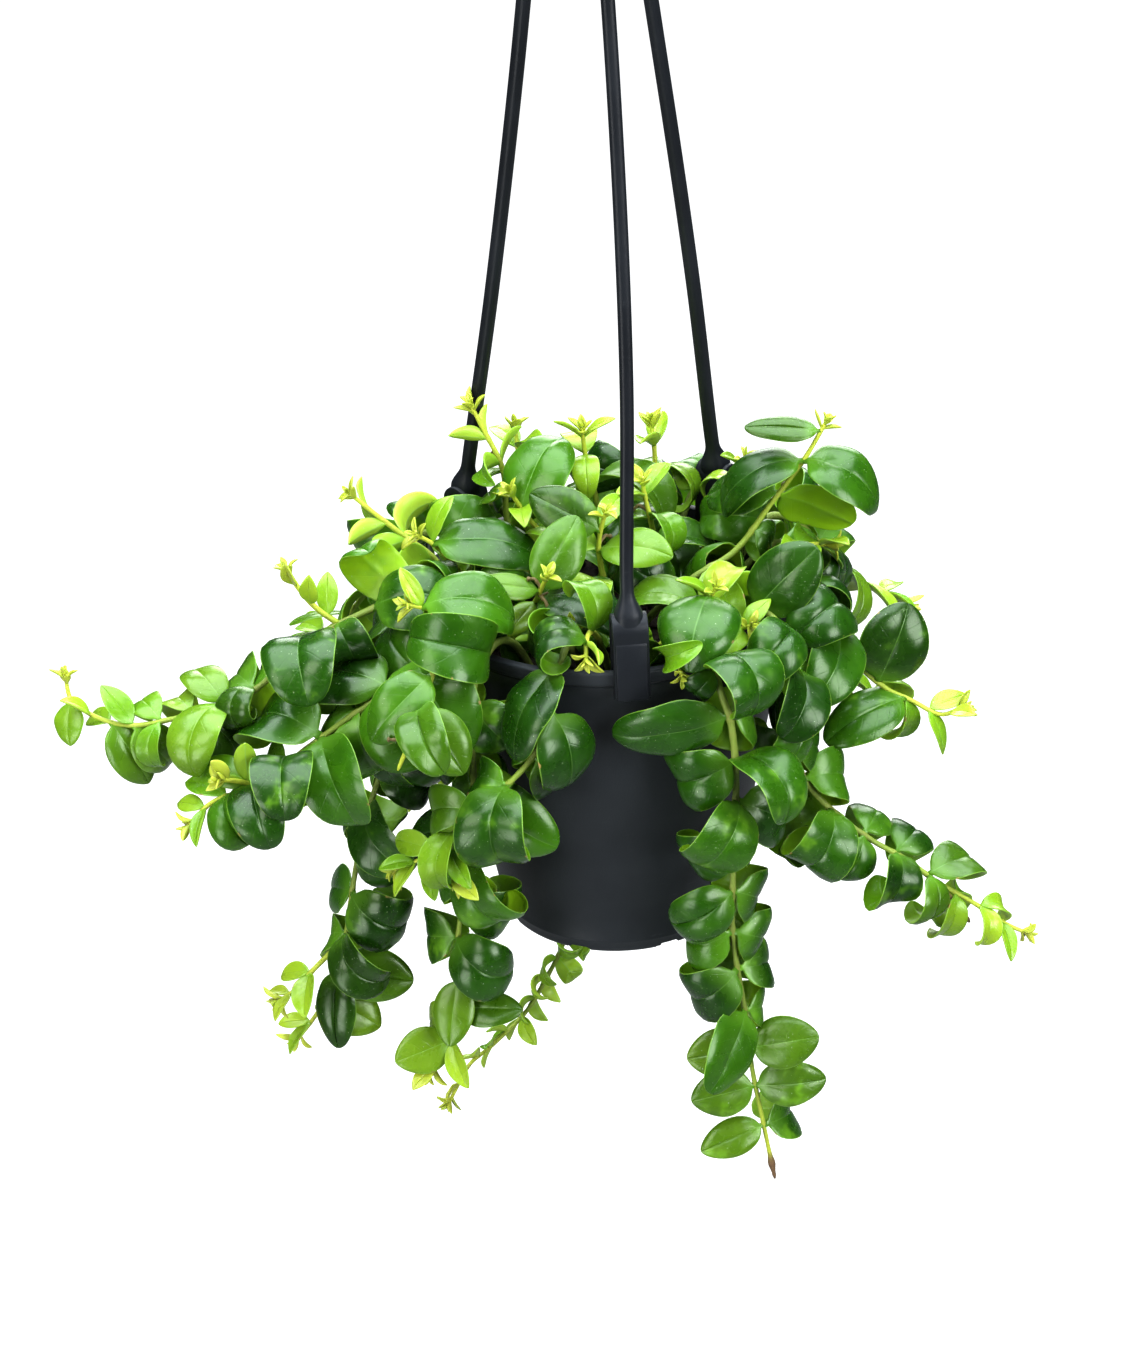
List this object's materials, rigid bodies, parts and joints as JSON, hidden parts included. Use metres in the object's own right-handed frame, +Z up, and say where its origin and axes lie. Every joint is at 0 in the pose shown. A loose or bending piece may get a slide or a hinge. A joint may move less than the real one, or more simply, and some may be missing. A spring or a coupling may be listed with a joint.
{
  "type": "potted curly lipstick plant",
  "caption": "Trailing lipstick plant with thick, curled, glossy leaves in a tapered dark plastic pot, hung from a three-strap hanger with a hook.",
  "frame": {"origin": "the bearing point inside the top of the hook, on the pot's axis", "axes": "+Z up along the pot's axis, -Y towards the front clip, +X to the right seen from the front"},
  "size_m": [0.3545, 0.2148, 0.664],
  "materials": {
    "pot_plastic": "dark charcoal, satin, with fine scuffs",
    "hanger_plastic": "dark charcoal, satin",
    "potting_mix": "rough, crumbly",
    "leaf_green": "waxy, glossy leaves on smooth green stems"
  },
  "bodies": {
    "root": {"pot": "pot_plastic", "soil": "potting_mix", "hanger_hook": "hanger_plastic", "hanger_strap_front": "hanger_plastic", "hanger_strap_right": "hanger_plastic", "hanger_strap_left": "hanger_plastic", "shoot_left_long": "leaf_green", "shoot_left_low": "leaf_green", "shoot_left_hanging": "leaf_green", "shoot_front_left_hanging": "leaf_green", "shoot_front_bare_tip": "leaf_green", "shoot_front_left": "leaf_green", "shoot_back_long": "leaf_green", "shoot_right_hanging": "leaf_green", "shoot_right_low": "leaf_green", "shoot_right": "leaf_green", "shoot_right_back_low": "leaf_green", "shoot_right_rising": "leaf_green", "shoot_left_rising": "leaf_green", "shoot_left_spray": "leaf_green", "crown_rosette": "leaf_green", "crown_front_roll": "leaf_green", "crown_middle": "leaf_green", "crown_middle_left": "leaf_green", "crown_left": "leaf_green", "crown_left_front": "leaf_green", "crown_back_left": "leaf_green", "crown_back": "leaf_green", "crown_back_right": "leaf_green", "crown_right_back": "leaf_green", "crown_middle_right": "leaf_green", "crown_right_front": "leaf_green", "crown_drape_left": "leaf_green", "crown_drape_right": "leaf_green", "crown_right_edge": "leaf_green", "crown_right": "leaf_green", "shoot_back_left_hanging": "leaf_green", "shoot_back_left_low": "leaf_green", "shoot_back_hanging": "leaf_green", "shoot_back_right_hanging": "leaf_green", "shoot_back_right_low": "leaf_green"}
  },
  "joints": []
}
